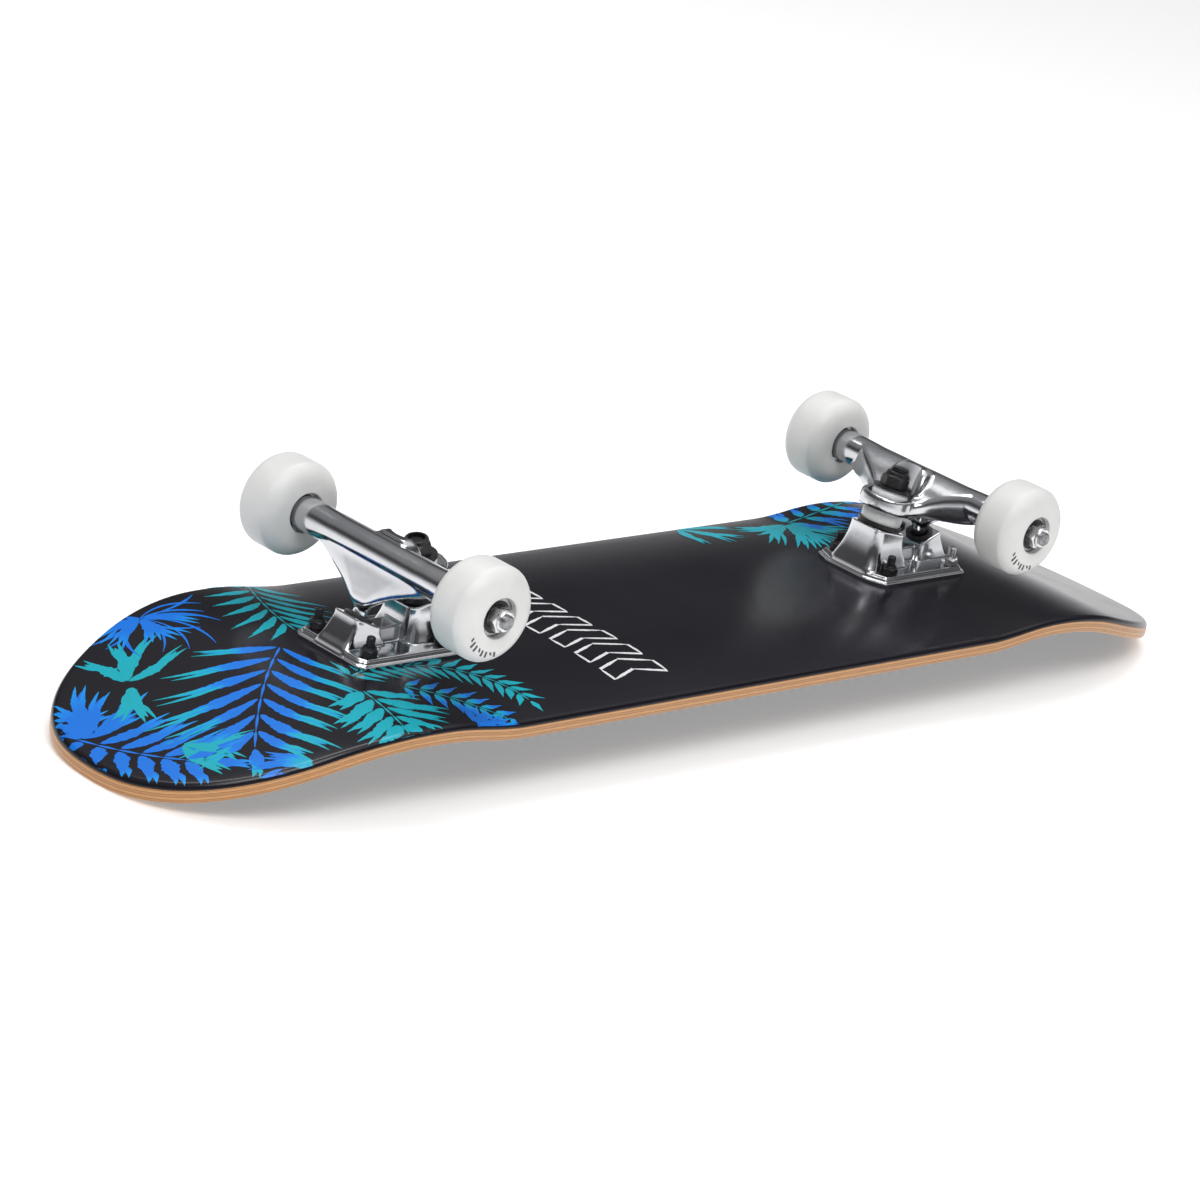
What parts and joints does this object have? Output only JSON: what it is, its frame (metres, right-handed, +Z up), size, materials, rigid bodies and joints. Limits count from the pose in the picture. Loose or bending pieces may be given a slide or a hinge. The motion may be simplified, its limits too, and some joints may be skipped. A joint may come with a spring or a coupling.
{
  "type": "skateboard",
  "caption": "Complete street skateboard, lying upside down: maple deck with two kicks and a leaf print, polished trucks, white wheels that turn and trucks that steer.",
  "frame": {"origin": "on the floor under the middle of the deck, which lies upside down on its nose and tail", "axes": "+X towards the nose, +Z up, towards the wheels, +Y towards the rider's right"},
  "size_m": [0.8, 0.197, 0.1273],
  "materials": {
    "deck": "satin",
    "printed_film": "gloss",
    "grip_tape": "matte",
    "black_hardware": "satin",
    "zinc_hardware": "gloss",
    "axle_steel": "satin",
    "polished_aluminium": "gloss",
    "pivot_cup": "satin",
    "bushing": "satin",
    "urethane": "satin",
    "bearing_steel": "gloss",
    "bearing_shield": "satin",
    "ball_cage": "satin"
  },
  "bodies": {
    "board": {"deck": "deck", "grip_tape": "grip_tape", "deck_bolts": "black_hardware", "deck_nuts": "black_hardware", "marker_bolt": "zinc_hardware", "marker_nut": "zinc_hardware", "nose_baseplate": "polished_aluminium", "nose_pivot_cup": "pivot_cup", "nose_kingpin": "black_hardware", "nose_kingpin_nut": "black_hardware", "nose_bottom_washer": "black_hardware", "nose_top_washer": "black_hardware", "nose_bottom_bushing": "bushing", "nose_top_bushing": "bushing", "tail_baseplate": "polished_aluminium", "tail_pivot_cup": "pivot_cup", "tail_kingpin": "black_hardware", "tail_kingpin_nut": "black_hardware", "tail_bottom_washer": "black_hardware", "tail_top_washer": "black_hardware", "tail_bottom_bushing": "bushing", "tail_top_bushing": "bushing"},
    "nose_hanger_assembly": {"nose_hanger": "polished_aluminium", "nose_axle": "axle_steel", "nose_speed_washers": "zinc_hardware", "nose_axle_nuts": "zinc_hardware", "nose_inner_races": "bearing_steel", "nose_bearing_spacers": "zinc_hardware"},
    "nose_left_wheel_assembly": {"nose_left_wheel": "urethane", "nose_left_outer_races": "bearing_steel", "nose_left_bearing_shields": "bearing_shield"},
    "nose_left_ball_sets": {"nose_left_bearing_balls": "bearing_steel", "nose_left_ball_cages": "ball_cage"},
    "nose_right_wheel_assembly": {"nose_right_wheel": "urethane", "nose_right_outer_races": "bearing_steel", "nose_right_bearing_shields": "bearing_shield"},
    "nose_right_ball_sets": {"nose_right_bearing_balls": "bearing_steel", "nose_right_ball_cages": "ball_cage"},
    "tail_hanger_assembly": {"tail_hanger": "polished_aluminium", "tail_axle": "axle_steel", "tail_speed_washers": "zinc_hardware", "tail_axle_nuts": "zinc_hardware", "tail_inner_races": "bearing_steel", "tail_bearing_spacers": "zinc_hardware"},
    "tail_left_wheel_assembly": {"tail_left_wheel": "urethane", "tail_left_outer_races": "bearing_steel", "tail_left_bearing_shields": "bearing_shield"},
    "tail_left_ball_sets": {"tail_left_bearing_balls": "bearing_steel", "tail_left_ball_cages": "ball_cage"},
    "tail_right_wheel_assembly": {"tail_right_wheel": "urethane", "tail_right_outer_races": "bearing_steel", "tail_right_bearing_shields": "bearing_shield"},
    "tail_right_ball_sets": {"tail_right_bearing_balls": "bearing_steel", "tail_right_ball_cages": "ball_cage"}
  },
  "joints": [
    {"name": "nose_steer", "type": "hinge", "parent": "board", "child": "nose_hanger_assembly", "pos_m": [0.21854, 0, 0.06257], "axis": [-0.8132, 0, 0.582], "range_deg": [-15, 15], "stiffness_Nm_per_rad": 60, "deforming": ["nose_bottom_bushing", "nose_top_bushing"]},
    {"name": "nose_left_wheel_spin", "type": "hinge", "parent": "nose_hanger_assembly", "child": "nose_left_wheel_assembly", "pos_m": [0.2074, -0.0765, 0.1008], "axis": [0, 1, 0], "continuous": true},
    {"name": "nose_left_ball_spin", "type": "hinge", "parent": "nose_hanger_assembly", "child": "nose_left_ball_sets", "pos_m": [0.2074, -0.0765, 0.1008], "axis": [0, 1, 0], "continuous": true},
    {"name": "nose_right_wheel_spin", "type": "hinge", "parent": "nose_hanger_assembly", "child": "nose_right_wheel_assembly", "pos_m": [0.2074, 0.0765, 0.1008], "axis": [0, 1, 0], "continuous": true},
    {"name": "nose_right_ball_spin", "type": "hinge", "parent": "nose_hanger_assembly", "child": "nose_right_ball_sets", "pos_m": [0.2074, 0.0765, 0.1008], "axis": [0, 1, 0], "continuous": true},
    {"name": "tail_steer", "type": "hinge", "parent": "board", "child": "tail_hanger_assembly", "pos_m": [-0.23214, 0, 0.06257], "axis": [0.8132, 0, 0.582], "range_deg": [-15, 15], "stiffness_Nm_per_rad": 60, "deforming": ["tail_bottom_bushing", "tail_top_bushing"]},
    {"name": "tail_left_wheel_spin", "type": "hinge", "parent": "tail_hanger_assembly", "child": "tail_left_wheel_assembly", "pos_m": [-0.221, -0.0765, 0.1008], "axis": [0, 1, 0], "continuous": true},
    {"name": "tail_left_ball_spin", "type": "hinge", "parent": "tail_hanger_assembly", "child": "tail_left_ball_sets", "pos_m": [-0.221, -0.0765, 0.1008], "axis": [0, 1, 0], "continuous": true},
    {"name": "tail_right_wheel_spin", "type": "hinge", "parent": "tail_hanger_assembly", "child": "tail_right_wheel_assembly", "pos_m": [-0.221, 0.0765, 0.1008], "axis": [0, 1, 0], "continuous": true},
    {"name": "tail_right_ball_spin", "type": "hinge", "parent": "tail_hanger_assembly", "child": "tail_right_ball_sets", "pos_m": [-0.221, 0.0765, 0.1008], "axis": [0, 1, 0], "continuous": true}
  ],
  "couplings": [
    {"joint": "nose_left_ball_spin", "follows": "nose_left_wheel_spin", "ratio": 0.6323},
    {"joint": "nose_right_ball_spin", "follows": "nose_right_wheel_spin", "ratio": 0.6323},
    {"joint": "tail_left_ball_spin", "follows": "tail_left_wheel_spin", "ratio": 0.6323},
    {"joint": "tail_right_ball_spin", "follows": "tail_right_wheel_spin", "ratio": 0.6323}
  ]
}
